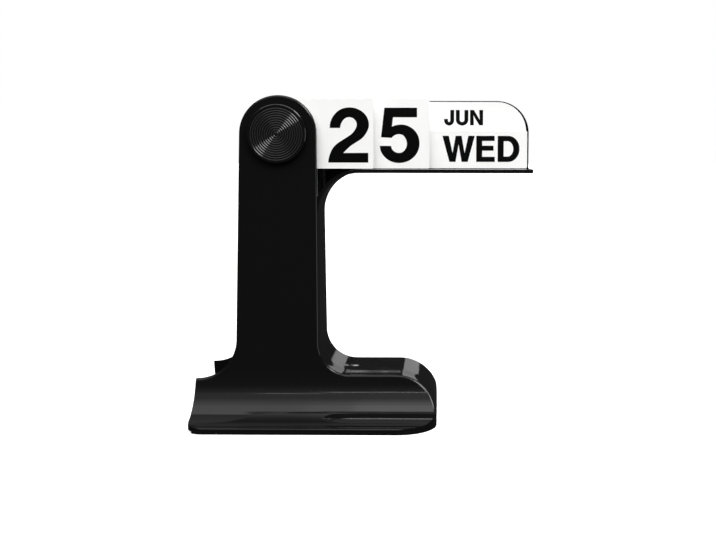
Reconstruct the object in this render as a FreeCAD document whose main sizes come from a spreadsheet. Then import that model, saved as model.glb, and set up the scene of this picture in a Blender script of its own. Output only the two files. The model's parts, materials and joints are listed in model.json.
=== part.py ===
import FreeCAD, Part
import math
import os
import Sketcher
from FreeCAD import Placement, Rotation, Vector

# Perpetual desk calendar, in millimetres.
# X runs to the right along the arm, Y to the back and Z up.
# The origin is at the floor, in the middle of the overall outline.
# Every outline is drawn about the pivot axis, and each piece is then moved to its place.

doc = FreeCAD.newDocument("perpetual_calendar")

# Driving dimensions

driving_sizes = [
    ("wall", 2.0, "sheet thickness of both shells"),
    ("pin_height", 141.2, "pivot axis above the floor"),
    ("column_half_width", 19.1, "column at the pivot, and radius of its round top"),
    ("column_spread", 1.3, "how much wider the column is at its foot, each side"),
    ("crown_flat", 0.4, "flat left at the crown of a round end"),
    ("top_half_depth", 14.2, "pivot plane to outer face at the top"),
    ("foot_half_depth", 22.3, "pivot plane to outer face where the slope meets the lip"),
    ("lip_reach", 22.7, "how far the lip stands out beyond the foot of the slope"),
    ("lip_height", 3.0, "upright band round the base"),
    ("lip_flat", 0.95, "level top of the lip, outside the hollow sweep"),
    ("base_top", 23.0, "top of the base, right of the column"),
    ("base_reach", 78.5, "pivot axis to the right end of the base"),
    ("left_reach", 39.9, "pivot axis to the left end of the flares"),
    ("flare_end_height", 21.0, "height of the flares at their cut left end"),
    ("left_flat", 0.4, "level stretch between the left sweep and the cut"),
    ("foot_fillet", 16.0, "sweep from column to base top"),
    ("end_radius", 19.5, "round right end of the base top"),
    ("end_half_flat", 26.0, "half the straight stretch of the lip's right end"),
    ("left_corner", 8.0, "corners of the lip at the left, seen from above"),
    ("arm_reach", 125.8, "pivot axis to the right end of the arm"),
    ("plate_rise", 17.3, "pivot axis to the top of the rear sheet and of its plate"),
    ("plate_corner", 16.5, "top right corner of the back plate"),
    ("ledge_thickness", 1.8, "ledge under the cards"),
    ("arm_fillet", 20.5, "sweep from column to ledge"),
    ("sheet_edge_radius", 1.2, "rounding round the outer face of both sheets"),
    ("lip_edge_radius", 0.8, "rounding along the top of the lip"),
    ("overrun", 5.0, "how far a cutting shape passes the piece it cuts"),
    ("stem_radius", 4.0, "stem that carries the cards"),
    ("stem_wall", 1.4, "wall of the hollow stem"),
    ("running_gap", 0.08, "radial gap between stem and card"),
    ("spigot_gap", 0.03, "radial gap between spigot and stem"),
    ("spigot_length", 12.0, "spigot of the rear button"),
    ("seat_margin", 2.0, "how far the button stands out round its seat"),
    ("seat_rise", 1.2, "seat above the sheet at pivot height"),
    ("button_margin", 4.6, "column's side to the edge of the pivot button"),
    ("button_thickness", 3.0, "grooved pivot button"),
    ("button_edge", 0.4, "chamfer round the button"),
    ("groove_pitch", 1.15, "step from one ring groove to the next"),
    ("groove_width", 0.75, "ring groove at the button's face"),
    ("groove_depth", 0.2, "ring groove"),
    ("card_thickness", 0.5, "one card"),
    ("card_pitch", 0.72, "step from one card to the next"),
    ("card_inset", 2.0, "how far a card's round end lies inside the column's round top"),
    ("card_flat", 0.4, "flat left at the middle of a card's round end"),
    ("card_corner", 0.8, "small corners of a card"),
    ("card_rest_gap", 0.3, "gap between a shown card and the ledge"),
    ("tens_reach", 46.9, "pivot axis to the end of a tens card"),
    ("units_reach", 74.6, "pivot axis to the end of a units card"),
    ("long_reach", 123.9, "pivot axis to the end of a weekday or month card"),
    ("long_drop", 0.5, "how much lower the top of a month card is than a units card's"),
    ("month_corner", 15.0, "round corner of a month card"),
    ("day_rise", 1.7, "pivot axis to the top edge of a weekday strip"),
    ("day_hub_reach", 24.0, "pivot axis to the step in a weekday card"),
]

sheet = doc.addObject("Spreadsheet::Sheet", "Sizes")
for row, (alias, value, meaning) in enumerate(driving_sizes, start=1):
    sheet.set("A%d" % row, alias)
    sheet.set("B%d" % row, "%g" % value)
    sheet.set("C%d" % row, meaning)
    sheet.setAlias("B%d" % row, alias)
doc.recompute()
driving_names = [alias for alias, value, meaning in driving_sizes]


# Sizes worked out from the driving ones

derived_sizes = {
    "pin_across": "( left_reach - arm_reach ) / 2",
    "crown_top": "pin_height + column_half_width",
    "plate_top": "pin_height + plate_rise",
    "profile_top": "crown_top + overrun",
    "column_foot_half_width": "column_half_width + column_spread",
    "card_half_height": "column_half_width - card_inset",
    "long_rise": "card_half_height - long_drop",
    "ledge_top": "pin_height - card_half_height - card_rest_gap",
    "ledge_bottom": "ledge_top - ledge_thickness",
    "column_taper": "column_spread / ( pin_height - base_top )",
    "ledge_half_width": "column_half_width + ( pin_height - ledge_bottom ) * column_taper",
    "left_fillet": "left_reach - column_foot_half_width - left_flat",
    "side_slope": "( foot_half_depth - top_half_depth ) / ( profile_top - lip_height )",
    "base_half_depth": "foot_half_depth + lip_reach",
    "right_corner": "base_half_depth - end_half_flat",
    "sweep_width": "lip_reach - lip_flat",
    "sweep_radius": "sweep_width / tan( 45 deg - atan( side_slope ) / 2 )",
    "corner_zone_top": "base_top + foot_fillet",
    "pin_half_depth": "top_half_depth + ( profile_top - pin_height ) * side_slope",
    "mid_height": "( pin_height + base_top ) / 2",
    "mid_half_width": "column_half_width + column_spread / 2",
    "mid_half_depth": "top_half_depth + ( profile_top - mid_height ) * side_slope",
    "button_radius": "column_half_width - button_margin",
    "seat_radius": "button_radius - seat_margin",
    "seat_face": "pin_half_depth + seat_rise",
    "button_face": "seat_face + button_thickness",
    "ring_floor": "button_face - groove_depth",
    "ring_mouth": "button_face + groove_depth",
    "bore_radius": "stem_radius - stem_wall",
    "bore_floor": "seat_face - spigot_length - overrun",
    "spigot_radius": "bore_radius - spigot_gap",
    "hole_radius": "stem_radius + running_gap",
    "card_end": "card_half_height - card_flat / 2",
    "long_end": "long_rise - card_flat",
    "far_right": "arm_reach + 2 * overrun",
    "far_left": "left_reach + 2 * overrun",
    "far_depth": "base_half_depth + 2 * overrun",
}


def bind(text):
    """Spell out an expression in references to the sheet."""
    words = []
    for word in text.split():
        if word in derived_sizes:
            words.append("( %s )" % bind(derived_sizes[word]))
        elif word in driving_names:
            words.append("Sizes." + word)
        else:
            words.append(word)
    return " ".join(words)


def size(text):
    """The present value of an expression."""
    return float(sheet.evalExpression(bind(text)))


# Sketch helpers

upright = Rotation(Vector(1, 0, 0), 90)
sideways = Rotation(0.5, 0.5, 0.5, 0.5)
flat = Rotation()


def unit(start, end):
    """Unit vector from one point to another."""
    return (end - start).normalize()


def draw_outline(sketch, corners):
    """Draw a closed outline through corners given as (across, up, radius) expressions.

    A corner with a radius is rounded by a tangent arc, and keeps a construction point."""
    points = [Vector(size(across), size(up), 0) for across, up, radius in corners]
    count = len(points)
    arrivals = []
    leavings = []
    arcs = []
    for index, (across, up, radius) in enumerate(corners):
        point = points[index]
        if radius is None:
            arrivals.append(point)
            leavings.append(point)
            arcs.append(None)
            continue
        back = unit(point, points[index - 1])
        ahead = unit(point, points[(index + 1) % count])
        half_angle = back.getAngle(ahead) / 2
        reach = size(radius) / math.tan(half_angle)
        centre = point + (back + ahead).normalize() * (size(radius) / math.sin(half_angle))
        arrival = point + back * reach
        leaving = point + ahead * reach
        middle = centre + unit(centre, point) * size(radius)
        arrivals.append(arrival)
        leavings.append(leaving)
        ends = [arrival, leaving]
        if (arrival - centre).cross(leaving - centre).z < 0:
            ends.reverse()
        arcs.append(sketch.addGeometry(Part.Arc(ends[0], middle, ends[1]), False))
    lines = []
    for index in range(count):
        line = Part.LineSegment(leavings[index], arrivals[(index + 1) % count])
        lines.append(sketch.addGeometry(line, False))
    for index, (across, up, radius) in enumerate(corners):
        before = lines[index - 1]
        after = lines[index]
        if radius is None:
            sketch.addConstraint(Sketcher.Constraint("Coincident", before, 2, after, 1))
            place_point(sketch, after, 1, across, up)
            continue
        arc = arcs[index]
        marker = sketch.addGeometry(Part.Point(points[index]), True)
        place_point(sketch, marker, 1, across, up)
        sketch.addConstraint(Sketcher.Constraint("PointOnObject", marker, 1, before))
        sketch.addConstraint(Sketcher.Constraint("PointOnObject", marker, 1, after))
        join_tangent(sketch, arc, before, 2, arrivals[index])
        join_tangent(sketch, arc, after, 1, leavings[index])
        limit = sketch.addConstraint(Sketcher.Constraint("Radius", arc, size(radius)))
        sketch.setExpression("Constraints[%d]" % limit, bind(radius))


def place_point(sketch, geometry, end, across, up):
    """Tie a point to the sketch's origin by two expressions."""
    for kind, text in (("DistanceX", across), ("DistanceY", up)):
        value = size(text)
        constraint = Sketcher.Constraint(kind, -1, 1, geometry, end, value)
        index = sketch.addConstraint(constraint)
        sketch.setExpression("Constraints[%d]" % index, bind(text))


def join_tangent(sketch, arc, line, line_end, point):
    """Join an end of a line to the nearer end of an arc, tangent there."""
    curve = sketch.Geometry[arc]
    near_start = (curve.StartPoint - point).Length < (curve.EndPoint - point).Length
    arc_end = 1 if near_start else 2
    sketch.addConstraint(Sketcher.Constraint("Tangent", line, line_end, arc, arc_end))


def draw_circle(sketch, across, up, radius):
    """Draw a circle about a point."""
    centre = Vector(size(across), size(up), 0)
    circle = sketch.addGeometry(Part.Circle(centre, Vector(0, 0, 1), size(radius)), False)
    place_point(sketch, circle, 3, across, up)
    limit = sketch.addConstraint(Sketcher.Constraint("Radius", circle, size(radius)))
    sketch.setExpression("Constraints[%d]" % limit, bind(radius))


def extrude(name, outlines, plane, forward, backward):
    """A solid swept both ways from a plane through the pivot axis."""
    sketch = doc.addObject("Sketcher::SketchObject", name + "_outline")
    sketch.Placement = Placement(Vector(0, 0, 0), plane)
    for corners in outlines:
        draw_outline(sketch, corners)
    solid = doc.addObject("Part::Extrusion", name)
    solid.Base = sketch
    solid.DirMode = "Normal"
    solid.Solid = True
    solid.setExpression("LengthFwd", bind(forward))
    solid.setExpression("LengthRev", bind(backward))
    return solid


def common(name, pieces):
    """What several solids share."""
    result = doc.addObject("Part::MultiCommon", name)
    result.Shapes = pieces
    return result


def fuse(name, pieces):
    """Several solids as one."""
    result = doc.addObject("Part::MultiFuse", name)
    result.Shapes = pieces
    result.Refine = True
    return result


def cut(name, base, tool):
    """One solid less another."""
    result = doc.addObject("Part::Cut", name)
    result.Base = base
    result.Tool = tool
    return result


def nearest_edge(shape, across, depth, up):
    """The number of the edge that passes nearest to a point."""
    point = Part.Vertex(Vector(size(across), size(depth), size(up)))
    distances = [edge.distToShape(point)[0] for edge in shape.Edges]
    return distances.index(min(distances)) + 1


def round_edge(name, base, radius, across, depth, up):
    """Round the edge that passes nearest to a point, and all that runs on smoothly from it."""
    doc.recompute()
    result = doc.addObject("Part::Fillet", name)
    result.Base = base
    edge = nearest_edge(base.Shape, across, depth, up)
    result.Edges = [(edge, size(radius), size(radius))]
    return result


def cylinder(name, radius, start, length, toward_back):
    """A cylinder along the pivot axis, from one distance to the pivot plane onwards."""
    result = doc.addObject("Part::Cylinder", name)
    result.setExpression("Radius", bind(radius))
    result.setExpression("Height", bind(length))
    turn = -90 if toward_back else 90
    result.Placement = Placement(Vector(0, 0, 0), Rotation(Vector(1, 0, 0), turn))
    side = "1" if toward_back else "-1"
    result.setExpression("Placement.Base.y", bind("%s * ( %s )" % (side, start)))
    result.setExpression("Placement.Base.z", bind("pin_height"))
    return result


def move_to_frame(piece):
    """Bring a piece drawn about the pivot axis into the part's frame."""
    piece.setExpression("Placement.Base.x", bind("pin_across"))


# Outlines of the shells

front_view = [
    ("- left_reach", "0 * wall", None),
    ("- left_reach", "flare_end_height", None),
    ("- column_foot_half_width", "flare_end_height", "left_fillet"),
    ("- column_half_width", "pin_height", None),
    ("- column_half_width", "crown_top", "column_half_width - crown_flat / 2"),
    ("column_half_width", "crown_top", "column_half_width - crown_flat / 2"),
    ("column_half_width", "pin_height", None),
    ("column_foot_half_width", "base_top", "foot_fillet"),
    ("base_reach", "base_top", "end_radius"),
    ("base_reach", "0 * wall", None),
]

rear_view = [
    ("- left_reach", "0 * wall", None),
    ("- left_reach", "flare_end_height", None),
    ("- column_foot_half_width", "flare_end_height", "left_fillet"),
    ("- column_half_width", "pin_height", None),
    ("- column_half_width", "plate_top", "plate_rise - crown_flat / 2"),
    ("arm_reach", "plate_top", "plate_corner"),
    ("arm_reach", "ledge_bottom", None),
    ("ledge_half_width", "ledge_bottom", "arm_fillet"),
    ("column_foot_half_width", "base_top", "foot_fillet"),
    ("base_reach", "base_top", "end_radius"),
    ("base_reach", "0 * wall", None),
]

hollow_view = [
    ("- left_reach - overrun", "- overrun", None),
    ("- left_reach - overrun", "profile_top", None),
    ("arm_reach + overrun", "profile_top", None),
    ("arm_reach + overrun", "ledge_top", None),
    ("ledge_half_width - wall", "ledge_top", "arm_fillet + wall"),
    ("column_foot_half_width - wall", "base_top - wall", "foot_fillet + wall"),
    ("base_reach - wall", "base_top - wall", "end_radius - wall"),
    ("base_reach - wall", "- overrun", None),
]

outer_front = [
    ("- base_half_depth", "0 * wall", None),
    ("- base_half_depth", "lip_height", "lip_edge_radius"),
    ("- foot_half_depth", "lip_height", "sweep_radius"),
    ("- top_half_depth", "profile_top", None),
]

inner_front = [
    ("wall - top_half_depth", "profile_top", None),
    ("wall - foot_half_depth", "lip_height - wall", "sweep_radius"),
    ("wall - base_half_depth", "lip_height - wall", None),
    ("wall - base_half_depth", "0 * wall", None),
]

outer_rear = [
    ("top_half_depth", "profile_top", None),
    ("foot_half_depth", "lip_height", "sweep_radius"),
    ("base_half_depth", "lip_height", "lip_edge_radius"),
    ("base_half_depth", "0 * wall", None),
]

hollow_profile = [
    ("- base_half_depth - overrun", "- overrun", None),
    ("- base_half_depth - overrun", "profile_top", None),
    ("top_half_depth - wall", "profile_top", None),
    ("foot_half_depth - wall", "lip_height - wall", "sweep_radius"),
    ("base_half_depth - wall", "lip_height - wall", None),
    ("base_half_depth - wall", "- overrun", None),
]

cutter_rim = [
    ("- far_left", "- base_half_depth - overrun", None),
    ("base_reach + overrun", "- base_half_depth - overrun", None),
    ("base_reach + overrun", "base_half_depth + overrun", None),
    ("- far_left", "base_half_depth + overrun", None),
]

lip_plan = [
    ("- left_reach", "- base_half_depth", "left_corner"),
    ("base_reach", "- base_half_depth", "right_corner"),
    ("base_reach", "base_half_depth", "right_corner"),
    ("- left_reach", "base_half_depth", "left_corner"),
]

hollow_plan = [
    ("- left_reach - overrun", "wall - base_half_depth", None),
    ("base_reach - wall", "wall - base_half_depth", "right_corner - wall"),
    ("base_reach - wall", "base_half_depth - wall", "right_corner - wall"),
    ("- left_reach - overrun", "base_half_depth - wall", None),
]


def side_extrusion(name, outline):
    """A side outline swept along the whole arm."""
    return extrude(name, [outline], sideways, "far_right", "far_left")


def front_extrusion(name, outline):
    """A front outline swept through the whole depth."""
    return extrude(name, [outline], upright, "far_depth", "far_depth")


def corner_cutter(name, plan):
    """Everything beside the base in plan, below the clear stretch of the column."""
    return extrude(name, [cutter_rim, plan], flat, "corner_zone_top", "2 * overrun")


def stem_hole(name):
    """The hole through a shell for the stem."""
    return cylinder(name, "hole_radius", "- seat_face - overrun", "2 * ( seat_face + overrun )", True)


def seat(name, toward_back):
    """Round seat on the outside of a sheet, square to the pivot axis."""
    return cylinder(name, "seat_radius", "pin_half_depth - wall / 2", "seat_rise + wall / 2", toward_back)


# Front shell: the sheet with the column, its sweep and the front lip

front_sheet = side_extrusion("front_sheet", outer_front + inner_front)
front_trimmed = common("front_trimmed", [front_sheet, front_extrusion("front_trim", front_view)])
front_cornered = cut("front_cornered", front_trimmed, corner_cutter("front_corners", lip_plan))
front_rounded = round_edge("front_rounded", front_cornered, "sheet_edge_radius",
                           "mid_half_width", "- mid_half_depth", "mid_height")
front_seated = fuse("front_seated", [front_rounded, seat("front_seat", False)])
front_shell = cut("front_shell", front_seated, stem_hole("front_stem_hole"))

# Rear shell: the back sheet with the arm's plate, and the web that closes the right side

rear_block = side_extrusion("rear_block", inner_front[::-1] + outer_rear)
rear_trimmed = common("rear_trimmed", [rear_block, front_extrusion("rear_trim", rear_view)])
rear_cornered = cut("rear_cornered", rear_trimmed, corner_cutter("rear_corners", lip_plan))
hollow_block = common("hollow_block", [side_extrusion("hollow_length", hollow_profile),
                                       front_extrusion("hollow_width", hollow_view)])
hollow = cut("hollow", hollow_block, corner_cutter("hollow_corners", hollow_plan))
rear_hollowed = cut("rear_hollowed", rear_cornered, hollow)
rear_rounded = round_edge("rear_rounded", rear_hollowed, "sheet_edge_radius",
                          "- mid_half_width", "mid_half_depth", "mid_height")
rear_seated = fuse("rear_seated", [rear_rounded, seat("rear_seat", True)])
rear_shell = cut("rear_shell", rear_seated, stem_hole("rear_stem_hole"))


# Pivot buttons

def origin_item(body, role):
    """One of a body's own origin planes or axes."""
    return next(item for item in body.Origin.OriginFeatures if item.Role == role)


def new_sketch(body, name, role):
    """A sketch on one of the body's origin planes."""
    sketch = body.newObject("Sketcher::SketchObject", name)
    sketch.AttachmentSupport = [(origin_item(body, role), "")]
    sketch.MapMode = "FlatFace"
    return sketch


def turn_profile(body, kind, name, outlines):
    """Turn outlines, given as radius and distance along the pivot, into a solid or a cut."""
    profile = new_sketch(body, name + "_profile", "XY_Plane")
    for outline in outlines:
        draw_outline(profile, outline)
    turned = body.newObject(kind, name)
    turned.Profile = profile
    turned.ReferenceAxis = (origin_item(body, "Y_Axis"), [""])
    turned.Angle = 360
    doc.recompute()


def ring_outlines(side):
    """The notches of the ring grooves, one step apart from the middle outwards."""
    count = int(size("button_radius / groove_pitch")) - 1
    return [[
        ("groove_pitch * %d - groove_width" % step, "%s * ring_mouth" % side, None),
        ("groove_pitch * %d + groove_width" % step, "%s * ring_mouth" % side, None),
        ("groove_pitch * %d" % step, "%s * ring_floor" % side, None),
    ] for step in range(1, count + 1)]


def turned_button(name, outline, side):
    """A turned button on the pivot axis, with ring grooves in its outer face."""
    body = doc.addObject("PartDesign::Body", name)
    turn_profile(body, "PartDesign::Revolution", name + "_turned", [outline])
    turn_profile(body, "PartDesign::Groove", name + "_rings", ring_outlines(side))
    body.setExpression("Placement.Base.z", bind("pin_height"))
    return body


front_pivot_button = turned_button("front_pivot_button", [
    ("0 * wall", "- button_face", None),
    ("button_radius - button_edge", "- button_face", None),
    ("button_radius", "button_edge - button_face", None),
    ("button_radius", "- seat_face", None),
    ("stem_radius", "- seat_face", None),
    ("stem_radius", "seat_face", None),
    ("bore_radius", "seat_face", None),
    ("bore_radius", "bore_floor", None),
    ("0 * wall", "bore_floor", None),
], "-1")

rear_pivot_button = turned_button("rear_pivot_button", [
    ("0 * wall", "button_face", None),
    ("button_radius - button_edge", "button_face", None),
    ("button_radius", "button_face - button_edge", None),
    ("button_radius", "seat_face", None),
    ("spigot_radius", "seat_face", None),
    ("spigot_radius", "seat_face - spigot_length", None),
    ("0 * wall", "seat_face - spigot_length", None),
], "1")


# Cards, drawn as shown: round end at the pivot, free end to the right

def card_outline(reach):
    """A tens or units card."""
    return [
        ("- card_half_height", "- card_half_height", "card_end"),
        (reach, "- card_half_height", "card_corner"),
        (reach, "card_half_height", "card_corner"),
        ("- card_half_height", "card_half_height", "card_end"),
    ]


month_outline = [
    ("- card_half_height", "- card_half_height", "card_end"),
    ("long_reach", "- card_half_height", "card_corner"),
    ("long_reach", "long_rise", "month_corner"),
    ("- card_half_height", "long_rise", "long_end"),
]

day_outline = [
    ("- card_half_height", "- card_half_height", "card_end"),
    ("long_reach", "- card_half_height", "card_corner"),
    ("long_reach", "day_rise", "card_corner"),
    ("day_hub_reach", "day_rise", "card_corner"),
    ("day_hub_reach", "long_rise", "card_corner"),
    ("- card_half_height", "long_rise", "long_end"),
]

day_names = ["mon", "tue", "wed", "thu", "fri", "sat", "sun"]
month_names = ["jan", "feb", "mar", "apr", "may", "jun", "jul", "aug", "sep", "oct", "nov", "dec"]
tens_cards = ["tens_card_%d" % digit for digit in range(4)]
units_cards = ["units_card_%d" % digit for digit in range(10)]
day_cards = ["day_card_" + day for day in day_names]
month_cards = ["month_card_" + month for month in month_names]
card_order = tens_cards + units_cards + day_cards + month_cards
shown_cards = ["tens_card_2", "units_card_5", "day_card_wed", "month_card_jun"]


def make_card(name, outline):
    """One card on the stem, in its place in the stack counted from the front."""
    body = doc.addObject("PartDesign::Body", name)
    sketch = new_sketch(body, name + "_outline", "XZ_Plane")
    draw_outline(sketch, outline)
    draw_circle(sketch, "0 * wall", "0 * wall", "hole_radius")
    pad = body.newObject("PartDesign::Pad", name + "_pad")
    pad.Profile = sketch
    pad.SideType = "Symmetric"
    pad.setExpression("Length", bind("card_thickness"))
    if name not in shown_cards:
        body.Placement = Placement(Vector(0, 0, 0), Rotation(Vector(0, 1, 0), 90))
    steps_from_middle = card_order.index(name) - (len(card_order) - 1) / 2
    body.setExpression("Placement.Base.y", bind("card_pitch * %g" % steps_from_middle))
    body.setExpression("Placement.Base.z", bind("pin_height"))
    return body


cards = [make_card(name, card_outline("tens_reach")) for name in tens_cards]
cards += [make_card(name, card_outline("units_reach")) for name in units_cards]
cards += [make_card(name, day_outline) for name in day_cards]
cards += [make_card(name, month_outline) for name in month_cards]

# Placing, checking and writing

pieces = [front_shell, rear_shell, front_pivot_button, rear_pivot_button] + cards
for piece in pieces:
    move_to_frame(piece)
doc.recompute()

for item in doc.Objects:
    if "Invalid" in item.State or "Error" in item.State:
        raise RuntimeError("%s did not build: %s" % (item.Label, item.State))
for piece in pieces:
    if piece.Shape.isNull() or not piece.Shape.isValid():
        raise RuntimeError("%s has no valid shape" % piece.Label)
    if len(piece.Shape.Solids) != 1:
        raise RuntimeError("%s is not one solid" % piece.Label)

os.makedirs("parts", exist_ok=True)
for piece in pieces:
    piece.Shape.exportStep("parts/%s.step" % piece.Label)
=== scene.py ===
import json
import math

import bmesh
import bpy
from bpy.props import FloatProperty, FloatVectorProperty, PointerProperty
from mathutils import Matrix, Vector

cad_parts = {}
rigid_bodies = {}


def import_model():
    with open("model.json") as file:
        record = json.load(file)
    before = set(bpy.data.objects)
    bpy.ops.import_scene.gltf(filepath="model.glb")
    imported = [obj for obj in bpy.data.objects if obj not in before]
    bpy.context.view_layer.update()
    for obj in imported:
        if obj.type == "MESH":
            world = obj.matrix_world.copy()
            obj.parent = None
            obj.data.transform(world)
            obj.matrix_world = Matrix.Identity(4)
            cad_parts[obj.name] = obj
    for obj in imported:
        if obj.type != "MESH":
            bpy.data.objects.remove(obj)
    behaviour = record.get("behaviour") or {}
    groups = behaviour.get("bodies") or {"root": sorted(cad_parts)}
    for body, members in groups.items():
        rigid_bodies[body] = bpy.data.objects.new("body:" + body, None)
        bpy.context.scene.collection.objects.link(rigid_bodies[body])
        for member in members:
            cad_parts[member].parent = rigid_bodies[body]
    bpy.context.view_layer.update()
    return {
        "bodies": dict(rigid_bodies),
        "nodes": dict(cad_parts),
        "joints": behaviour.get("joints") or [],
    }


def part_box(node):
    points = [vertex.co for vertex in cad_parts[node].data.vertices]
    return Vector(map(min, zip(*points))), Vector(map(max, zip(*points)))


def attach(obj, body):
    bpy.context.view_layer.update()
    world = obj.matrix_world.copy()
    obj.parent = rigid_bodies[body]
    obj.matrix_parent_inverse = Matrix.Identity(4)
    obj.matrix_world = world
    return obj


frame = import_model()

bl_info = {
    "name": "Perpetual desk calendar",
    "version": (1, 0, 0),
    "blender": (4, 5, 0),
    "location": "View3D > Sidebar > Calendar",
    "description": "Finishes, prints and sets a stage for a desk calendar with swinging cards",
    "category": "Object",
}

MM = 0.001
PIN = Vector(frame["joints"][0]["pos_m"])
CARDS = [body for body in frame["bodies"] if "_card_" in body]
# The middle of the boss under the base's top, and the step of the rings turned in the buttons.
BOSS = (PIN.x + 35.5 * MM, -1 * MM, 23 * MM)
RING_PITCH = 1.15 * MM
LAST_RING = 13.0 * MM


def linear(code):
    """An sRGB hex colour as linear red, green and blue."""
    parts = [int(code[i:i + 2], 16) / 255 for i in (1, 3, 5)]
    return [p / 12.92 if p <= 0.04045 else ((p + 0.055) / 1.055) ** 2.4 for p in parts]


# Letter forms of a bold grotesque, drawn on a capital 100 units high.
# Each has its width, the room it needs at its left and right, and its outlines.
# M starts an outline, L runs straight to a point, and Q rounds the corner it names first.

DIGITS = {
    "0": (73, 9, 9, "M 36.5 101 Q 73 101 73 50 Q 73 -1.5 36.5 -1.5 Q 0 -1.5 0 50 Q 0 101 36.5 101 "
                    "M 36.5 85.5 Q 52.5 85.5 52.5 50 Q 52.5 14 36.5 14 Q 20.5 14 20.5 50 Q 20.5 85.5 36.5 85.5"),
    "1": (46, 20, 22, "M 46 0 L 46 100 L 31 100 Q 27 86 2 84.5 L 2 70 L 26 70 L 26 0"),
    "2": (73, 9, 9, "M 2.7 64 Q 3.5 100 38 100 Q 73.4 100 73.4 69 Q 73.4 54 58 42.5 L 44 33.6 Q 33 26.5 25.1 16 "
                    "L 72 16 L 72 0 L 0 0 Q 1 22 15 32.5 Q 19 35.6 28 41.3 L 38 47.6 Q 52.8 57 52.8 69 "
                    "Q 52.8 84 37.5 84 Q 22 84 20.1 64"),
    "3": (72, 9, 9, "M 2 69 Q 3 101 36 101 Q 69 101 69 74 Q 69 58 54 53.5 Q 72 48.5 72 29 Q 72 -1.5 35.5 -1.5 "
                    "Q 0 -1.5 0 32 L 20 32 Q 21 14.5 35.5 14.5 Q 51.5 14.5 51.5 30 Q 51.5 45 35 45 L 28 45 L 28 60 "
                    "L 34 60 Q 49 60 49 73 Q 49 86 35.5 86 Q 21.5 86 21 69"),
    "4": (74, 8, 8, "M 44 0 L 44 23 L 0 23 L 0 40.5 L 42 100 L 63.5 100 L 63.5 38.5 L 74 38.5 L 74 23 L 63.5 23 "
                    "L 63.5 0 M 44 38.5 L 44 77 L 17 38.5"),
    "5": (72.3, 9, 9, "M 8.4 100 L 67.5 100 L 67.5 84.3 L 22.9 84.3 L 20.5 64 Q 27.5 68.7 38.6 68.7 "
                      "Q 72.3 68.7 72.3 34.9 Q 72.3 -1 35 -1 Q 2 -1 0 28.9 L 19.3 28.9 Q 20.5 15.7 34.9 15.7 "
                      "Q 50.6 15.7 50.6 33.9 Q 50.6 53 35 53 Q 25.5 53 20.5 45.8 L 2.4 47"),
    "6": (72, 9, 9, "M 69 75 L 50 75 Q 48 86 37.5 86 Q 21 86 20 56 Q 28 66 41 66 Q 72 66 72 33 Q 72 -1.5 37 -1.5 "
                    "Q 0 -1.5 0 48 Q 0 101 38 101 Q 67 101 69 75 "
                    "M 37 51 Q 52 51 52 32 Q 52 13.5 37 13.5 Q 21.5 13.5 21.5 32.5 Q 21.5 51 37 51"),
    "7": (70, 10, 10, "M 0 100 L 70 100 L 70 84 Q 42 50 36 0 L 15 0 Q 20 48 50 83 L 0 83"),
    "8": (72, 9, 9, "M 36 101 Q 68.5 101 68.5 75 Q 68.5 60 54 54 Q 72 48 72 28 Q 72 -1.5 36 -1.5 Q 0 -1.5 0 28 "
                    "Q 0 48 18 54 Q 3.5 60 3.5 75 Q 3.5 101 36 101 "
                    "M 36 87.5 Q 49 87.5 49 74 Q 49 60 36 60 Q 23 60 23 74 Q 23 87.5 36 87.5 "
                    "M 36 46.5 Q 52 46.5 52 29.5 Q 52 12.5 36 12.5 Q 20 12.5 20 29.5 Q 20 46.5 36 46.5"),
    "9": (72, 9, 9, "M 3 25 L 22 25 Q 24 14 34.5 14 Q 51 14 52 44 Q 44 34 31 34 Q 0 34 0 67 Q 0 101.5 35 101.5 "
                    "Q 72 101.5 72 52 Q 72 -1 34 -1 Q 5 -1 3 25 "
                    "M 35 49 Q 20 49 20 68 Q 20 86.5 35 86.5 Q 50.5 86.5 50.5 67.5 Q 50.5 49 35 49"),
}

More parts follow.
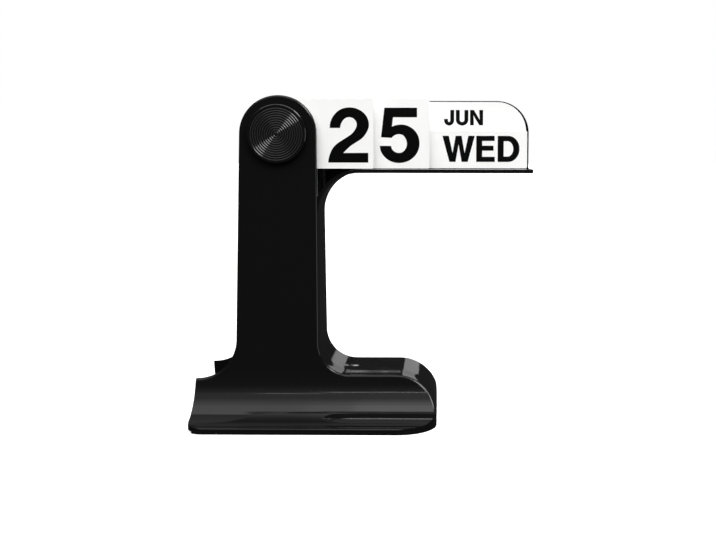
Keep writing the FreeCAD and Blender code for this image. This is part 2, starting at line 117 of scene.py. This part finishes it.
LETTERS = {
    "A": (90, 1, 1, "M 0 0 L 20.5 0 L 27.3 20 L 62.7 20 L 69.5 0 L 90 0 L 56 100 L 34 100 "
                    "M 33 36.5 L 57 36.5 L 45 73"),
    "B": (77, 10, 6, "M 0 0 L 0 100 L 44 100 Q 72 100 72 75 Q 72 59 59 53.5 Q 77 48.5 77 28.5 Q 77 0 46 0 "
                     "M 19.5 83.5 L 19.5 60.5 L 40 60.5 Q 53 60.5 53 72 Q 53 83.5 40 83.5 "
                     "M 19.5 45 L 19.5 16.5 L 42 16.5 Q 57 16.5 57 31 Q 57 45 42 45"),
    "C": (86, 6, 5, "M 85 65 L 65 65 Q 62 85 44 85 Q 20.5 85 20.5 50 Q 20.5 15 44 15 Q 63 15 65.5 36.5 L 86 36.5 "
                    "Q 83 -2 45 -2 Q 0 -2 0 50 Q 0 102 45 102 Q 81 102 85 65"),
    "D": (83, 10, 6, "M 0 0 L 0 100 L 39 100 Q 83 100 83 50 Q 83 0 39 0 "
                     "M 19.5 83 L 19.5 17 L 37 17 Q 62.5 17 62.5 50 Q 62.5 83 37 83"),
    "E": (70, 10, 6, "M 0 0 L 0 100 L 69 100 L 69 84 L 19.5 84 L 19.5 60.5 L 65 60.5 L 65 45 L 19.5 45 L 19.5 16 "
                     "L 70 16 L 70 0"),
    "F": (66, 10, 4, "M 0 0 L 0 100 L 67 100 L 67 83.5 L 19.5 83.5 L 19.5 59 L 59 59 L 59 43 L 19.5 43 L 19.5 0"),
    "G": (88, 6, 9, "M 84 66 L 64 66 Q 61 85 44 85 Q 20.5 85 20.5 50 Q 20.5 15 45 15 Q 64 15 66.5 37 L 46 37 L 46 53 "
                    "L 86 53 L 86 0 L 72 0 L 70 12 Q 60 -2 42 -2 Q 0 -2 0 50 Q 0 102 45 102 Q 80 102 84 66"),
    "H": (80, 10, 10, "M 0 0 L 0 100 L 19.5 100 L 19.5 61 L 60.5 61 L 60.5 100 L 80 100 L 80 0 L 60.5 0 L 60.5 44 "
                      "L 19.5 44 L 19.5 0"),
    "I": (19.5, 10, 10, "M 0 0 L 0 100 L 19.5 100 L 19.5 0"),
    "J": (63, 4, 10, "M 63 100 L 63 32 Q 63 -2 31 -2 Q 0 -2 0 31 L 0 37 L 19 37 L 19 30 Q 19 15 31 15 "
                     "Q 43.5 15 43.5 31 L 43.5 100"),
    "L": (66, 10, 4, "M 0 0 L 0 100 L 19.5 100 L 19.5 17 L 66 17 L 66 0"),
    "M": (98, 10, 10, "M 0 0 L 0 100 L 29 100 L 49 29 L 69 100 L 98 100 L 98 0 L 79.5 0 L 79.5 79 L 58 0 L 40 0 "
                      "L 18.5 79 L 18.5 0"),
    "N": (84, 10, 10, "M 0 0 L 0 100 L 21 100 L 65 31 L 65 100 L 84 100 L 84 0 L 63.5 0 L 19 70 L 19 0"),
    "O": (94, 6, 6, "M 47 102 Q 94 102 94 50 Q 94 -2 47 -2 Q 0 -2 0 50 Q 0 102 47 102 "
                    "M 47 85 Q 73.5 85 73.5 50 Q 73.5 15 47 15 Q 20.5 15 20.5 50 Q 20.5 85 47 85"),
    "P": (74, 10, 4, "M 0 0 L 0 100 L 43 100 Q 74 100 74 68 Q 74 36 43 36 L 19.5 36 L 19.5 0 "
                     "M 19.5 83.5 L 19.5 52.5 L 40 52.5 Q 54.5 52.5 54.5 68 Q 54.5 83.5 40 83.5"),
    "R": (78, 10, 3, "M 0 0 L 0 100 L 47 100 Q 76 100 76 73 Q 76 55 61 49.5 Q 73.5 45 74 28 L 74.5 12 Q 75 5 78.5 3 "
                     "L 78.5 0 L 57.5 0 Q 55 4 55 14 L 54.5 26 Q 54 39.5 41 39.5 L 19.5 39.5 L 19.5 0 "
                     "M 19.5 84 L 19.5 55.5 L 42 55.5 Q 56.5 55.5 56.5 70 Q 56.5 84 42 84"),
    "S": (76, 6, 6, "M 73 69 L 54 69 Q 53 86 37.5 86 Q 23 86 23 75 Q 23 67 38 63.5 L 48 61 Q 76 54.5 76 30 "
                    "Q 76 -2 38 -2 Q 1 -2 0 32 L 19.5 32 Q 21 14.5 39 14.5 Q 56.5 14.5 56.5 27 Q 56.5 36 41 40 "
                    "L 29 43 Q 3.5 49.5 3.5 72 Q 3.5 102 38 102 Q 71.5 102 73 69"),
    "T": (76, 3, 3, "M 28.5 0 L 28.5 83 L 0 83 L 0 100 L 76.5 100 L 76.5 83 L 48 83 L 48 0"),
    "U": (80, 10, 10, "M 0 100 L 0 36 Q 0 -2 40 -2 Q 80 -2 80 36 L 80 100 L 60.5 100 L 60.5 36 Q 60.5 15 40 15 "
                      "Q 19.5 15 19.5 36 L 19.5 100"),
    "V": (86, 1, 1, "M 33 0 L 0 100 L 21 100 L 43.5 26 L 65.5 100 L 86 100 L 53.5 0"),
    "W": (124, 1, 1, "M 27 0 L 0 100 L 21 100 L 38 31 L 52 100 L 72 100 L 86 31 L 103 100 L 124 100 L 97 0 L 76 0 "
                     "L 62 70 L 48 0"),
    "Y": (86, 1, 1, "M 33.5 0 L 33.5 38 L 0 100 L 22.5 100 L 43.5 57 L 64 100 L 86 100 L 53 38 L 53 0"),
}

GLYPHS = {**DIGITS, **LETTERS}
CAPITAL = 100
# Points on a rounded corner, how full its curve is, and the numbers that follow each path letter.
ROUND_STEPS = 10
ROUNDNESS = 0.56
ARGUMENTS = {"M": 2, "L": 2, "Q": 4}
# Where each kind of print stands from the pin, in millimetres: the middle of a digit or the left edge
# of a word, and its base line.
PRINT_PLACES = {"tens": (34.5, -13.85), "units": (59.7, -13.85), "day": (81.45, -13.6), "month": (82.25, 4.98)}


def outlines(path):
    """The loops of points that a letter's path describes."""
    loops, words = [], path.split()
    while words:
        kind = words.pop(0)
        numbers = [float(words.pop(0)) for _ in range(ARGUMENTS[kind])]
        end = Vector(numbers[-2:])
        if kind == "M":
            loops.append([end])
        elif kind == "L":
            loops[-1].append(end)
        else:
            start, corner = loops[-1][-1], Vector(numbers[:2])
            leave, arrive = start.lerp(corner, ROUNDNESS), end.lerp(corner, ROUNDNESS)
            for step in range(1, ROUND_STEPS + 1):
                t = step / ROUND_STEPS
                s = 1 - t
                loops[-1].append(s ** 3 * start + 3 * s * s * t * leave + 3 * s * t * t * arrive + t ** 3 * end)
    return loops


def fattened(loop, spread):
    """A closed loop with its edges moved outward, or inward for a hole in a letter."""
    later = loop[1:] + loop[:1]
    area = sum(here.cross(after) for here, after in zip(loop, later))
    normals = [(after - here).orthogonal().normalized() for here, after in zip(loop, later)]
    moved = []
    for here, first, second in zip(loop, normals[-1:] + normals[:-1], normals):
        bend = max(1 + first.dot(second), 0.5)
        moved.append(here - math.copysign(spread, area * spread) * (first + second) / bend)
    return moved


def word_width(word):
    """How wide a word is between its outermost strokes, in letter units."""
    room = sum(GLYPHS[c][0] + GLYPHS[c][1] + GLYPHS[c][2] for c in word)
    return room - GLYPHS[word[0]][1] - GLYPHS[word[-1]][2]


def word_mesh(name, word, capital, ink, spread):
    """A flat word on its base line, its first stroke at X 0, as thick as the ink and bolder by its spread."""
    curve = bpy.data.curves.new(name, "CURVE")
    curve.dimensions = "2D"
    curve.fill_mode = "BOTH"
    curve.extrude = ink / 2
    scale = capital / CAPITAL
    across = -GLYPHS[word[0]][1]
    for letter in word:
        width, left, right, path = GLYPHS[letter]
        across += left
        for order, loop in enumerate(outlines(path)):
            if (loop[0] - loop[-1]).length < 0.01:
                loop.pop()
            loop = fattened(loop, -spread / scale if order else spread / scale)
            spline = curve.splines.new("POLY")
            spline.points.add(len(loop) - 1)
            for point, (x, y) in zip(spline.points, loop):
                point.co = ((x + across) * scale, y * scale, 0, 1)
            spline.use_cyclic_u = True
        across += width + right
    flat = bpy.data.objects.new(name, curve)
    bpy.context.scene.collection.objects.link(flat)
    bpy.context.view_layer.update()
    mesh = bpy.data.meshes.new_from_object(flat.evaluated_get(bpy.context.evaluated_depsgraph_get()))
    bpy.data.objects.remove(flat)
    bpy.data.curves.remove(curve)
    mesh.name = name
    return mesh


def add_print(card, word, left, base, capital, material):
    """Prints a word on a card, its left edge and base line measured from the pin."""
    sizes = bpy.context.scene.calendar_print
    ink = sizes.ink
    name = card.replace("_card", "_print")
    mesh = word_mesh(name, word, capital, ink, sizes.spread)
    shell = bmesh.new()
    shell.from_mesh(mesh)
    bmesh.ops.remove_doubles(shell, verts=shell.verts, dist=1e-7)
    bmesh.ops.recalc_face_normals(shell, faces=shell.faces)
    bmesh.ops.translate(shell, verts=shell.verts, vec=(left, base, ink / 2))
    shell.transform(Matrix.Rotation(math.radians(90), 4, "X"))
    low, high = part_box(card)
    hanging = high.z - low.z > high.x - low.x
    if hanging:
        shell.transform(Matrix.Rotation(math.radians(90), 4, "Y"))
    shell.transform(Matrix.Translation((PIN.x, low.y, PIN.z)))
    shell.to_mesh(mesh)
    shell.free()
    mesh.materials.clear()
    mesh.materials.append(material)
    piece = bpy.data.objects.new(name, mesh)
    bpy.context.scene.collection.objects.link(piece)
    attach(piece, card)
    return piece


# Materials

def add_node(tree, kind, settings=None, inputs=None):
    """Adds a node, sets its properties, and sets or links its inputs."""
    node = tree.nodes.new(kind)
    for key, value in (settings or {}).items():
        setattr(node, key, value)
    for key, value in (inputs or {}).items():
        if isinstance(value, bpy.types.NodeSocket):
            tree.links.new(value, node.inputs[key])
        else:
            node.inputs[key].default_value = value
    return node


def new_material(name, colour, roughness, ior):
    """A material with its shader ready, and its object coordinates."""
    material = bpy.data.materials.new(name)
    material.use_nodes = True
    material.diffuse_color = (*colour, 1)
    tree = material.node_tree
    shader = tree.nodes["Principled BSDF"]
    shader.inputs["Base Color"].default_value = (*colour, 1)
    shader.inputs["Roughness"].default_value = roughness
    shader.inputs["IOR"].default_value = ior
    place = add_node(tree, "ShaderNodeTexCoord").outputs["Object"]
    return material, tree, shader, place


def moulded_gloss_abs():
    """Black ABS from a polished mould."""
    finish = bpy.context.scene.calendar_finish
    material, tree, shader, place = new_material("moulded_gloss_abs", finish.abs_colour, finish.abs_gloss, 1.53)
    # Faint handling smears, 18 mm apart, that break up the gloss.
    smears = add_node(tree, "ShaderNodeTexNoise", {"noise_dimensions": "3D"}, {
        "Vector": place, "Scale": 1 / (18 * MM), "Detail": 4.0, "Roughness": 0.55, "Distortion": 0.6})
    gloss = add_node(tree, "ShaderNodeMapRange", {}, {
        "Value": smears.outputs["Fac"], "From Min": 0.35, "From Max": 0.7,
        "To Min": finish.abs_gloss * 0.85, "To Max": finish.abs_gloss * 1.5})
    tree.links.new(gloss.outputs["Result"], shader.inputs["Roughness"])
    # Dust that settles on black plastic, specks of 0.25 mm about 2.5 mm apart.
    dust_and_ring_sheen = add_node(tree, "ShaderNodeTexVoronoi", {"feature": "F1"}, {
        "Vector": place, "Scale": 1 / (2.5 * MM), "Randomness": 1.0})
    speck = add_node(tree, "ShaderNodeMapRange", {}, {
        "Value": dust_and_ring_sheen.outputs["Distance"], "From Min": 0.03, "From Max": 0.06, "To Min": 0.35, "To Max": 0.0})
    colour = add_node(tree, "ShaderNodeMix", {"data_type": "RGBA"}, {
        "Factor": speck.outputs["Result"], "A": (*finish.abs_colour, 1), "B": (*linear("#1c1c1c"), 1)})
    tree.links.new(colour.outputs["Result"], shader.inputs["Base Color"])
    # Slow sink of the moulded sheet, 14 mm from crest to crest, that bends the reflections.
    sink = add_node(tree, "ShaderNodeTexNoise", {"noise_dimensions": "3D"}, {
        "Vector": place, "Scale": 1 / (14 * MM), "Detail": 1.0, "Roughness": 0.4})
    waves = add_node(tree, "ShaderNodeBump", {}, {
        "Height": sink.outputs["Fac"], "Strength": 0.06, "Distance": 0.4 * MM})
    # The base's top rolls off by 0.3 mm over the last 13 mm before it meets the front sheet.
    depth = add_node(tree, "ShaderNodeSeparateXYZ", {}, {"Vector": place})
    edge = add_node(tree, "ShaderNodeMapRange", {"interpolation_type": "SMOOTHSTEP"}, {
        "Value": depth.outputs["Y"], "From Min": -19 * MM, "From Max": -6 * MM, "To Min": 0.0, "To Max": 1.0})
    roll = add_node(tree, "ShaderNodeBump", {}, {
        "Height": edge.outputs["Result"], "Strength": 1.0, "Distance": 0.3 * MM, "Normal": waves.outputs["Normal"]})
    # A sink mark of 9 mm where a boss stands under the base's top.
    boss = add_node(tree, "ShaderNodeVectorMath", {"operation": "DISTANCE"}, {0: place, 1: BOSS})
    dimple = add_node(tree, "ShaderNodeMapRange", {"interpolation_type": "SMOOTHSTEP"}, {
        "Value": boss.outputs["Value"], "From Min": 0.0, "From Max": 4.5 * MM, "To Min": 0.0, "To Max": 1.0})
    mark = add_node(tree, "ShaderNodeBump", {}, {
        "Height": dimple.outputs["Result"], "Strength": 1.0, "Distance": 0.36 * MM, "Normal": roll.outputs["Normal"]})
    tree.links.new(mark.outputs["Normal"], shader.inputs["Normal"])
    return material


def ringed_abs():
    """The same black ABS, a little duller where the mould was turned, with painted highlight lines in its ring
    grooves.
    """
    finish = bpy.context.scene.calendar_finish
    material, tree, shader, place = new_material("ringed_abs", finish.abs_colour, finish.abs_gloss * 2, 1.53)
    # Turning marks too fine to count, drawn as 1 mm patches of more and less silk.
    grain = add_node(tree, "ShaderNodeTexNoise", {"noise_dimensions": "3D"}, {
        "Vector": place, "Scale": 1 / (1.0 * MM), "Detail": 2.0, "Roughness": 0.5})
    gloss = add_node(tree, "ShaderNodeMapRange", {}, {
        "Value": grain.outputs["Fac"], "From Min": 0.3, "From Max": 0.7,
        "To Min": finish.abs_gloss * 1.6, "To Max": finish.abs_gloss * 2.4})
    tree.links.new(gloss.outputs["Result"], shader.inputs["Roughness"])
    # Painted highlight: lighter grey lines 0.4 mm wide on the floor of every ring groove, out to the last groove,
    # standing in for the rings' reflections.
    spoke = add_node(tree, "ShaderNodeVectorMath", {"operation": "SUBTRACT"}, {0: place, 1: tuple(PIN)})
    level = add_node(tree, "ShaderNodeVectorMath", {"operation": "MULTIPLY"}, {
        0: spoke.outputs["Vector"], 1: (1, 0, 1)})
    radius = add_node(tree, "ShaderNodeVectorMath", {"operation": "LENGTH"}, {0: level.outputs["Vector"]})
    beside = add_node(tree, "ShaderNodeMath", {"operation": "PINGPONG"}, {
        0: radius.outputs["Value"], 1: RING_PITCH / 2})
    line = add_node(tree, "ShaderNodeMapRange", {"interpolation_type": "SMOOTHSTEP"}, {
        "Value": beside.outputs["Value"], "From Min": 0.1 * MM, "From Max": 0.3 * MM, "To Min": 1.0, "To Max": 0.0})
    within = add_node(tree, "ShaderNodeMapRange", {}, {
        "Value": radius.outputs["Value"], "From Min": LAST_RING, "From Max": LAST_RING + 0.2 * MM,
        "To Min": 1.0, "To Max": 0.0})
    dust_and_ring_sheen = add_node(tree, "ShaderNodeMath", {"operation": "MULTIPLY"}, {
        0: line.outputs["Result"], 1: within.outputs["Result"]})
    # The painted ring highlight lightens the stand colour towards #2b2b2b along each groove.
    colour = add_node(tree, "ShaderNodeMix", {"data_type": "RGBA"}, {
        "Factor": dust_and_ring_sheen.outputs["Value"], "A": (*finish.abs_colour, 1), "B": (*linear("#2b2b2b"), 1)})
    tree.links.new(colour.outputs["Result"], shader.inputs["Base Color"])
    return material


def calendered_pvc():
    """White PVC sheet, rolled with a satin face."""
    finish = bpy.context.scene.calendar_finish
    material, tree, shader, place = new_material("calendered_pvc", finish.sheet_colour, 0.42, 1.54)
    # Satin grain of the rollers, 0.5 mm.
    grain = add_node(tree, "ShaderNodeTexNoise", {"noise_dimensions": "3D"}, {
        "Vector": place, "Scale": 1 / (0.5 * MM), "Detail": 2.0, "Roughness": 0.6})
    bump = add_node(tree, "ShaderNodeBump", {}, {
        "Height": grain.outputs["Fac"], "Strength": 0.12, "Distance": 0.05 * MM})
    tree.links.new(bump.outputs["Normal"], shader.inputs["Normal"])
    # A slight greying with handling, in patches of 22 mm.
    patches = add_node(tree, "ShaderNodeTexNoise", {"noise_dimensions": "3D"}, {
        "Vector": place, "Scale": 1 / (22 * MM), "Detail": 3.0, "Roughness": 0.5})
    tint = add_node(tree, "ShaderNodeMapRange", {}, {
        "Value": patches.outputs["Fac"], "From Min": 0.35, "From Max": 0.75, "To Min": 0.0, "To Max": 1.0})
    colour = add_node(tree, "ShaderNodeMix", {"data_type": "RGBA"}, {
        "Factor": tint.outputs["Result"], "A": (*finish.sheet_colour, 1), "B": (*linear("#f0f0ef"), 1)})
    tree.links.new(colour.outputs["Result"], shader.inputs["Base Color"])
    gloss = add_node(tree, "ShaderNodeMapRange", {}, {
        "Value": patches.outputs["Fac"], "From Min": 0.3, "From Max": 0.7, "To Min": 0.36, "To Max": 0.5})
    tree.links.new(gloss.outputs["Result"], shader.inputs["Roughness"])
    return material


def screen_ink():
    """Black screen ink, a thin satin film with a slightly pebbled face."""
    finish = bpy.context.scene.calendar_finish
    material, tree, shader, place = new_material("screen_ink", finish.ink_colour, 0.45, 1.3)
    # The screen's mesh, 0.3 mm, left in the film.
    pebble = add_node(tree, "ShaderNodeTexNoise", {"noise_dimensions": "3D"}, {
        "Vector": place, "Scale": 1 / (0.3 * MM), "Detail": 2.0, "Roughness": 0.6})
    bump = add_node(tree, "ShaderNodeBump", {}, {
        "Height": pebble.outputs["Fac"], "Strength": 0.15, "Distance": 0.02 * MM})
    tree.links.new(bump.outputs["Normal"], shader.inputs["Normal"])
    gloss = add_node(tree, "ShaderNodeMapRange", {}, {
        "Value": pebble.outputs["Fac"], "From Min": 0.3, "From Max": 0.7, "To Min": 0.38, "To Max": 0.55})
    tree.links.new(gloss.outputs["Result"], shader.inputs["Roughness"])
    return material


def give(nodes, material):
    """Puts one material on every slot of some nodes."""
    for node in nodes:
        for slot in frame["nodes"][node].material_slots:
            slot.material = material


# Settings

class CalendarPrint(bpy.types.PropertyGroup):
    """Sizes of the print on the cards."""
    ink: FloatProperty(name="Ink", description="Thickness of the ink film", default=0.03 * MM, unit="LENGTH",
                       precision=6)
    spread: FloatProperty(name="Spread", description="How far the ink runs beyond the drawn letter",
                          default=0.28 * MM, unit="LENGTH", precision=6)
    digit_height: FloatProperty(name="Digit height", description="Height of a day's digit", default=26.8 * MM,
                                unit="LENGTH", precision=4)
    day_height: FloatProperty(name="Weekday height", description="Height of a weekday's capitals",
                              default=12.6 * MM, unit="LENGTH", precision=4)
    month_height: FloatProperty(name="Month height", description="Height of a month's capitals",
                                default=7.25 * MM, unit="LENGTH", precision=4)


class CalendarFinish(bpy.types.PropertyGroup):
    """Colours and gloss of the plastics and the ink."""
    abs_colour: FloatVectorProperty(name="Stand colour", description="Colour of the moulded stand",
                                    subtype="COLOR", default=linear("#0e0e0e"), min=0, max=1)
    abs_gloss: FloatProperty(name="Stand roughness", description="Roughness of the polished stand",
                             subtype="FACTOR", default=0.07, min=0, max=1)
    sheet_colour: FloatVectorProperty(name="Card colour", description="Colour of the card sheet",
                                      subtype="COLOR", default=linear("#f7f7f6"), min=0, max=1)
    ink_colour: FloatVectorProperty(name="Ink colour", description="Colour of the print",
                                    subtype="COLOR", default=linear("#030303"), min=0, max=1)


class CalendarStage(bpy.types.PropertyGroup):
    """Floor, camera and light."""
    floor_colour: FloatVectorProperty(name="Floor colour", description="Colour of the studio floor",
                                      subtype="COLOR", default=linear("#f4f4f4"), min=0, max=1)
    reach: FloatProperty(name="Floor radius", description="How far the floor runs", default=6.0, unit="LENGTH")
    floor_glow: FloatProperty(name="Floor glow", description="Light under the studio floor", default=0.5)
    daylight: FloatProperty(name="Daylight", description="Strength of the soft daylight", default=3.1)
    lens: FloatProperty(name="Lens", description="Focal length", default=51.65, unit="CAMERA")


# The soft daylight: each window's name, its side in degrees from the front, and its share of the light.
DAYLIGHTS = (("daylight_left", -20, 0.5), ("daylight_right", 20, 0.5), ("daylight_behind", 170, 0.8))
DAYLIGHT_HEIGHT = 38
DAYLIGHT_WIDTH = 50

# The softbox over the calendar, in steps that grow brighter to the back and to the right.
# Each row has its front and back, and its share of the light. Each column has its sides and its light.
SOFTBOX_HEIGHT = 0.80
SOFTBOX_ROWS = ((-0.83, -0.47, 0.15), (-0.47, -0.365, 0.40), (-0.365, -0.24, 0.70), (-0.24, 0.005, 1.0))
SOFTBOX_COLUMNS = ((-0.60, -0.13, 0.90), (-0.13, -0.07, 1.15), (-0.07, 0.60, 1.60))

# The bright wall behind, in upright bands that the base's top reflects: its sides and its light.
WALL_BANDS = ((-0.30, -0.18, 1.7), (-0.18, -0.155, 1.1), (-0.155, -0.14, 0.75), (-0.14, -0.108, 0.35),
              (-0.108, -0.09, 0.8), (-0.09, 0.02, 0.4))

# Light panels: name, place, point faced, width and height in metres, and how bright each shows in the gloss.
BUTTON = (PIN.x, -0.02, PIN.z)
HUB = (0.0, 0.0, 0.08)
PANELS = (
    ("softbox_corner", (-0.40, 0.0775, 0.80), (-0.40, 0.0775, 0.0), (0.40, 0.145), 0.85),
    ("softbox_edge", (-0.155, 0.0175, 0.80), (-0.155, 0.0175, 0.0), (0.09, 0.025), 0.7),
    ("strip_above", (-0.02, 0.34, 0.80), (-0.02, 0.34, 0.0), (0.18, 0.03), 3.5),
    ("strip_front", (-0.03, -0.785, 0.72), (-0.03, -0.03, 0.01), (0.20, 0.018), 4.2),
    ("strip_front_end", (-0.175, -0.71, 0.72), (-0.175, -0.03, 0.01), (0.09, 0.018), 2.2),
    ("window_behind", (0.25, 2.0, 0.50), HUB, (0.34, 0.50), 0.6),
    ("lamp_right", (0.42, -0.68, 0.74), BUTTON, (0.40, 0.30), 6.0),
    ("lamp_side", (0.59, -0.14, 0.91), BUTTON, (0.40, 0.30), 4.8),
    ("fill_right", (1.5, -0.14, 0.10), HUB, (1.20, 0.80), 0.85),
)


# The camera: its place, the angles that it is turned by about Z, X and Z again, and its shift.
CAMERA_PLACE = (0.03673, -0.5199, 0.13743)
CAMERA_TURNS = ((0.554, "Z"), (87.245, "X"), (0.075, "Z"))
CAMERA_SHIFT = (-0.10, -0.11)
FILM_WIDTH = 36


# Pieces

class CALENDAR_OT_shells(bpy.types.Operator):
    """Finishes the two moulded shells"""
    bl_idname = "calendar.shells"
    bl_label = "Finish the shells"

    def execute(self, context):
        give(["front_shell", "rear_shell"], moulded_gloss_abs())
        return {"FINISHED"}


class CALENDAR_OT_buttons(bpy.types.Operator):
    """Finishes the two grooved pivot buttons"""
    bl_idname = "calendar.buttons"
    bl_label = "Finish the buttons"

    def execute(self, context):
        give(["front_pivot_button", "rear_pivot_button"], ringed_abs())
        return {"FINISHED"}


class CALENDAR_OT_cards(bpy.types.Operator):
    """Finishes the swinging cards"""
    bl_idname = "calendar.cards"
    bl_label = "Finish the cards"

    def execute(self, context):
        give(CARDS, calendered_pvc())
        return {"FINISHED"}


class CALENDAR_OT_prints(bpy.types.Operator):
    """Prints the digits, weekdays and months on the cards"""
    bl_idname = "calendar.prints"
    bl_label = "Print the cards"

    def execute(self, context):
        sizes = context.scene.calendar_print
        heights = {"tens": sizes.digit_height, "units": sizes.digit_height, "day": sizes.day_height,
                   "month": sizes.month_height}
        ink = screen_ink()
        for card in CARDS:
            kind, word = card.split("_card_")
            word = word.upper()
            left, base = (value * MM for value in PRINT_PLACES[kind])
            if kind in ("tens", "units"):
                left -= word_width(word) * heights[kind] / CAPITAL / 2
            add_print(card, word, left, base, heights[kind], ink)
        return {"FINISHED"}


class CALENDAR_OT_stage(bpy.types.Operator):
    """Lays the floor, and sets the light and the camera"""
    bl_idname = "calendar.stage"
    bl_label = "Set the stage"

    def execute(self, context):
        stage = context.scene.calendar_stage
        self.lay_floor(stage)
        self.set_light(stage)
        self.set_camera(stage)
        return {"FINISHED"}

    def lay_floor(self, stage):
        disc = bmesh.new()
        bmesh.ops.create_circle(disc, cap_ends=True, segments=96, radius=stage.reach)
        self.show("floor", disc, self.plain("studio_floor", stage.floor_colour, stage.floor_glow))
        dome = bmesh.new()
        bmesh.ops.create_uvsphere(dome, u_segments=64, v_segments=32, radius=stage.reach)
        bmesh.ops.reverse_faces(dome, faces=dome.faces)
        backdrop = self.show("backdrop", dome, self.plain("studio_backdrop", (1, 1, 1), 1.0))
        backdrop.visible_shadow = False

    def plain(self, name, colour, glow):
        """A flat studio finish that glows, and only glows where the glow is full."""
        material, _, shader, _ = new_material(name, colour, 0.9, 1.45)
        shader.inputs["Emission Color"].default_value = (*colour, 1)
        shader.inputs["Emission Strength"].default_value = glow
        if glow == 1:
            shader.inputs["Base Color"].default_value = (0, 0, 0, 1)
        return material

    def show(self, name, shape, material):
        mesh = bpy.data.meshes.new(name)
        shape.to_mesh(mesh)
        shape.free()
        mesh.materials.append(material)
        item = bpy.data.objects.new(name, mesh)
        bpy.context.scene.collection.objects.link(item)
        item.visible_glossy = False
        item.visible_diffuse = False
        return item

    def set_light(self, stage):
        self.set_room()
        for name, azimuth, share in DAYLIGHTS:
            self.add_sun(name, azimuth, DAYLIGHT_HEIGHT, stage.daylight * share)
        for row, (front, back, share) in enumerate(SOFTBOX_ROWS):
            for column, (left, right, glow) in enumerate(SOFTBOX_COLUMNS):
                middle = ((left + right) / 2, (front + back) / 2)
                self.add_panel("softbox_%d_%d" % (row, column), (*middle, SOFTBOX_HEIGHT), (*middle, 0),
                               (right - left, back - front), glow * share)
        for band, (left, right, glow) in enumerate(WALL_BANDS):
            self.add_panel("wall_behind_%d" % band, ((left + right) / 2, 2.0, 0.93), HUB, (right - left, 0.60), glow)
        for panel in PANELS:
            self.add_panel(*panel)

    def set_room(self):
        world = bpy.data.worlds.new("studio_room")
        world.use_nodes = True
        tree = world.node_tree
        # A dark studio with a little light under its ceiling.
        way = add_node(tree, "ShaderNodeTexCoord").outputs["Generated"]
        height = add_node(tree, "ShaderNodeSeparateXYZ", {}, {"Vector": way})
        glow = add_node(tree, "ShaderNodeMapRange", {"interpolation_type": "SMOOTHSTEP"}, {
            "Value": height.outputs["Z"], "From Min": 0.4, "From Max": 0.8, "To Min": 0.02, "To Max": 0.27})
        tree.links.new(glow.outputs["Result"], tree.nodes["Background"].inputs["Strength"])
        tree.nodes["Background"].inputs["Color"].default_value = (1, 1, 1, 1)
        bpy.context.scene.world = world

    def add_sun(self, name, azimuth, height, strength):
        azimuth, height = math.radians(azimuth), math.radians(height)
        lamp = bpy.data.lights.new(name, "SUN")
        lamp.energy = strength
        lamp.angle = math.radians(DAYLIGHT_WIDTH)
        item = bpy.data.objects.new(name, lamp)
        bpy.context.scene.collection.objects.link(item)
        level = math.cos(height)
        toward = Vector((math.sin(azimuth) * level, -math.cos(azimuth) * level, math.sin(height)))
        item.rotation_euler = toward.to_track_quat("Z", "Y").to_euler()
        item.visible_glossy = False

    def add_panel(self, name, place, aim, sizes, glow):
        lamp = bpy.data.lights.new(name, "AREA")
        lamp.shape = "RECTANGLE"
        lamp.size, lamp.size_y = sizes
        lamp.energy = math.pi * sizes[0] * sizes[1] * glow
        item = bpy.data.objects.new(name, lamp)
        bpy.context.scene.collection.objects.link(item)
        item.location = place
        item.rotation_euler = (Vector(place) - Vector(aim)).to_track_quat("Z", "Y").to_euler()
        item.visible_camera = False

    def set_camera(self, stage):
        camera = bpy.data.cameras.new("camera")
        camera.lens = stage.lens
        camera.sensor_width = FILM_WIDTH
        camera.shift_x, camera.shift_y = CAMERA_SHIFT
        item = bpy.data.objects.new("camera", camera)
        bpy.context.scene.collection.objects.link(item)
        pose = Matrix.Translation(CAMERA_PLACE)
        for degrees, axis in CAMERA_TURNS:
            pose = pose @ Matrix.Rotation(math.radians(degrees), 4, axis)
        item.matrix_world = pose
        bpy.context.scene.camera = item
        bpy.context.scene.view_settings.view_transform = "Standard"


class CALENDAR_PT_sidebar(bpy.types.Panel):
    """Lists the steps that dress the calendar"""
    bl_label = "Perpetual desk calendar"
    bl_idname = "CALENDAR_PT_sidebar"
    bl_space_type = "VIEW_3D"
    bl_region_type = "UI"
    bl_category = "Calendar"

    def draw(self, context):
        for group in ("calendar_finish", "calendar_print", "calendar_stage"):
            settings = getattr(context.scene, group)
            box = self.layout.box()
            for name in settings.__annotations__:
                box.prop(settings, name)
        for step in STEPS:
            self.layout.operator(step.bl_idname)


STEPS = (CALENDAR_OT_shells, CALENDAR_OT_buttons, CALENDAR_OT_cards, CALENDAR_OT_prints, CALENDAR_OT_stage)
CLASSES = (CalendarPrint, CalendarFinish, CalendarStage, *STEPS, CALENDAR_PT_sidebar)


def register():
    for item in CLASSES:
        bpy.utils.register_class(item)
    bpy.types.Scene.calendar_print = PointerProperty(type=CalendarPrint)
    bpy.types.Scene.calendar_finish = PointerProperty(type=CalendarFinish)
    bpy.types.Scene.calendar_stage = PointerProperty(type=CalendarStage)


def unregister():
    del bpy.types.Scene.calendar_print
    del bpy.types.Scene.calendar_finish
    del bpy.types.Scene.calendar_stage
    for item in reversed(CLASSES):
        bpy.utils.unregister_class(item)


def main():
    register()
    bpy.ops.calendar.shells()
    bpy.ops.calendar.buttons()
    bpy.ops.calendar.cards()
    bpy.ops.calendar.prints()
    bpy.ops.calendar.stage()


if __name__ == "__main__":
    main()
